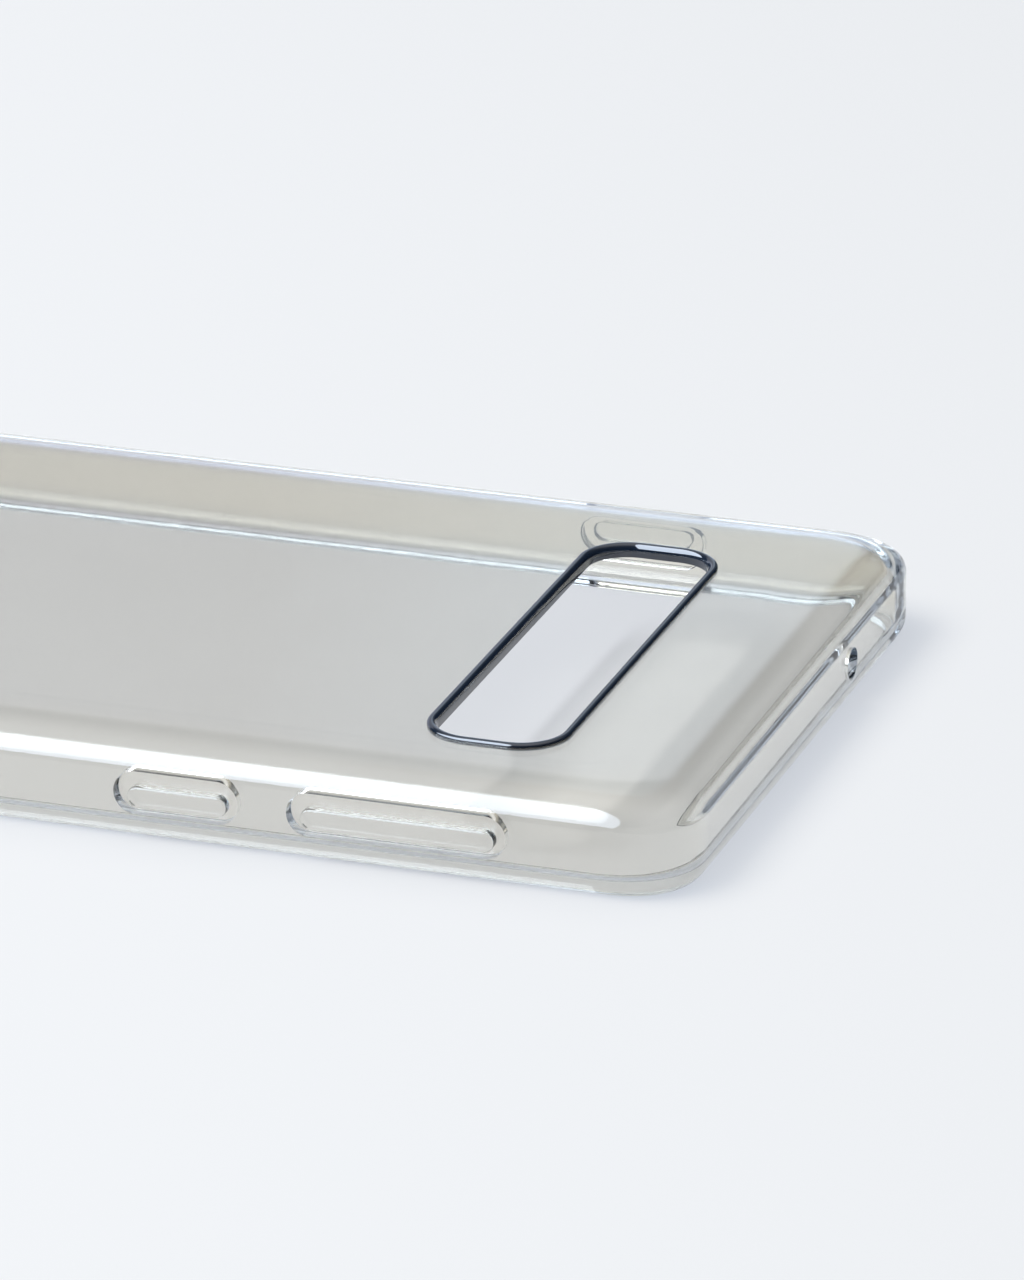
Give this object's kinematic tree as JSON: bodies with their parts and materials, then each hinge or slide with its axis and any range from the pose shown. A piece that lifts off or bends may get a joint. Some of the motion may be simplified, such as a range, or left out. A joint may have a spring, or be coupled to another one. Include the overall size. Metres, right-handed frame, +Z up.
{
  "type": "phone case",
  "caption": "Clear smoke-tinted flexible phone case with a rimmed camera slot in its back, raised key covers in its side walls and port openings in its ends.",
  "frame": {"origin": "centre of the case's footprint, on the surface that its open lip rests on", "axes": "+X along the length to the phone's top end, +Y across to the power-key side, +Z up out of the back"},
  "size_m": [0.1526, 0.0734, 0.0093],
  "materials": {
    "smoke_clear": "high gloss, see-through smoke grey",
    "dark_gloss": "mirror gloss, blue-black"
  },
  "bodies": {
    "case": {"shell": "smoke_clear", "camera_rim": "dark_gloss"},
    "volume_key": {"volume_key_cover": "smoke_clear"},
    "shortcut_key": {"shortcut_key_cover": "smoke_clear"},
    "power_key": {"power_key_cover": "smoke_clear"}
  },
  "joints": [
    {"name": "volume_press", "type": "slide", "parent": "case", "child": "volume_key", "axis": [0, 1, 0], "range_m": [0, 0.0004], "stiffness_N_per_m": 6000},
    {"name": "shortcut_press", "type": "slide", "parent": "case", "child": "shortcut_key", "axis": [0, 1, 0], "range_m": [0, 0.0004], "stiffness_N_per_m": 6000},
    {"name": "power_press", "type": "slide", "parent": "case", "child": "power_key", "axis": [0, -1, 0], "range_m": [0, 0.0004], "stiffness_N_per_m": 6000}
  ]
}
